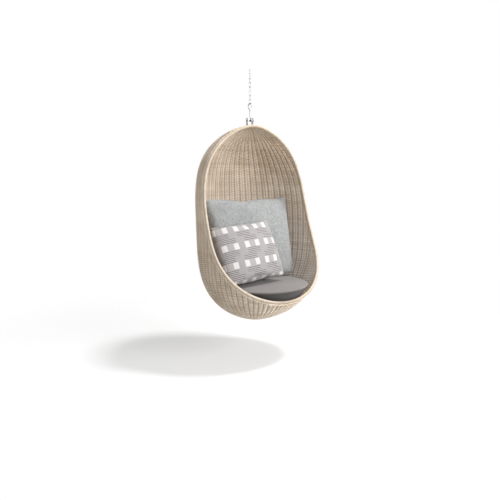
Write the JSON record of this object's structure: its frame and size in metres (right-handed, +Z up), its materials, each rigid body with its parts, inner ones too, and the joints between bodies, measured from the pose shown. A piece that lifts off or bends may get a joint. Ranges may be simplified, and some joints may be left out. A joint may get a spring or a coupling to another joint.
{
  "type": "hanging egg chair",
  "caption": "Egg-shaped woven chair with an oval front opening, seat, back and throw cushions, hung from a chain and hook at its crown.",
  "frame": {"origin": "the point on the hanging line where the top chain link bears on whatever holds the chair, inside the link's upper bend", "axes": "+Z up, -Y towards the front that the opening faces, +X to the sitter's left"},
  "size_m": [0.828, 0.7158, 1.5792],
  "materials": {
    "zinc_chain": "bright zinc-plated wire",
    "zinc_hook": "zinc-plated round wire",
    "zinc_hardware": "zinc-plated, satin",
    "frame_steel": "powder-coated tan",
    "rim_cane": "flat cane wrapped round the rim, pale",
    "woven_cane": "peeled cane, matt, taupe outside and beige inside",
    "seat_fabric": "plain woven, dark warm grey",
    "back_fabric": "heathered grey",
    "pillow_fabric": "pale grey with white squares and fine dark lines",
    "filling": "loose fibre, never seen"
  },
  "bodies": {
    "chain_link_1": {"chain_link_1": "zinc_chain"},
    "chain_links_2_3": {"chain_link_2": "zinc_chain", "chain_link_3": "zinc_chain"},
    "chain_links_4_8": {"chain_link_4": "zinc_chain", "chain_link_5": "zinc_chain", "chain_link_6": "zinc_chain", "chain_link_7": "zinc_chain", "chain_link_8": "zinc_chain"},
    "s_hook": {"s_hook": "zinc_hook"},
    "chair": {"hanger_bracket": "zinc_hardware", "hanger_bolt": "zinc_hardware", "hanger_sleeve": "zinc_hardware", "hanger_washers": "zinc_hardware", "hanger_nut": "zinc_hardware", "bracket_screws": "zinc_hardware", "crown_plate": "frame_steel", "foot_disc": "frame_steel", "rim_hoop": "frame_steel", "seat_ring": "frame_steel", "rib_back": "frame_steel", "rib_rear_left": "frame_steel", "rib_side_left": "frame_steel", "rib_fore_left": "frame_steel", "rib_front": "frame_steel", "rib_fore_right": "frame_steel", "rib_side_right": "frame_steel", "rib_rear_right": "frame_steel", "seat_bar_front": "frame_steel", "seat_bar_middle": "frame_steel", "seat_bar_rear": "frame_steel", "rim_wrap": "rim_cane", "woven_shell": "woven_cane", "seat_cushion": "seat_fabric", "back_cushion": "back_fabric", "seat_cushion_filling": "filling", "back_cushion_filling": "filling"},
    "throw_pillow": {"throw_pillow": "pillow_fabric", "throw_pillow_filling": "filling"}
  },
  "joints": [
    {"name": "link_2_swing", "type": "hinge", "parent": "chain_link_1", "child": "chain_links_2_3", "pos_m": [0, 0, -0.028], "axis": [0, 1, 0], "range_deg": [-20, 20]},
    {"name": "link_4_twist", "type": "hinge", "parent": "chain_links_2_3", "child": "chain_links_4_8", "pos_m": [0, 0, -0.0794], "axis": [0, 0, 1], "range_deg": [-14, 14]},
    {"name": "hook_swing", "type": "hinge", "parent": "chain_links_4_8", "child": "s_hook", "pos_m": [0, 0, -0.2079], "axis": [1, 0, 0], "range_deg": [-20, 20]},
    {"name": "chair_swing", "type": "hinge", "parent": "s_hook", "child": "chair", "pos_m": [0, 0, -0.3033], "axis": [1, 0, 0], "range_deg": [-35, 35]},
    {"name": "pillow_lift", "type": "slide", "parent": "chair", "child": "throw_pillow", "axis": [0, -0.6, 0.8], "range_m": [0, 0.35]}
  ]
}
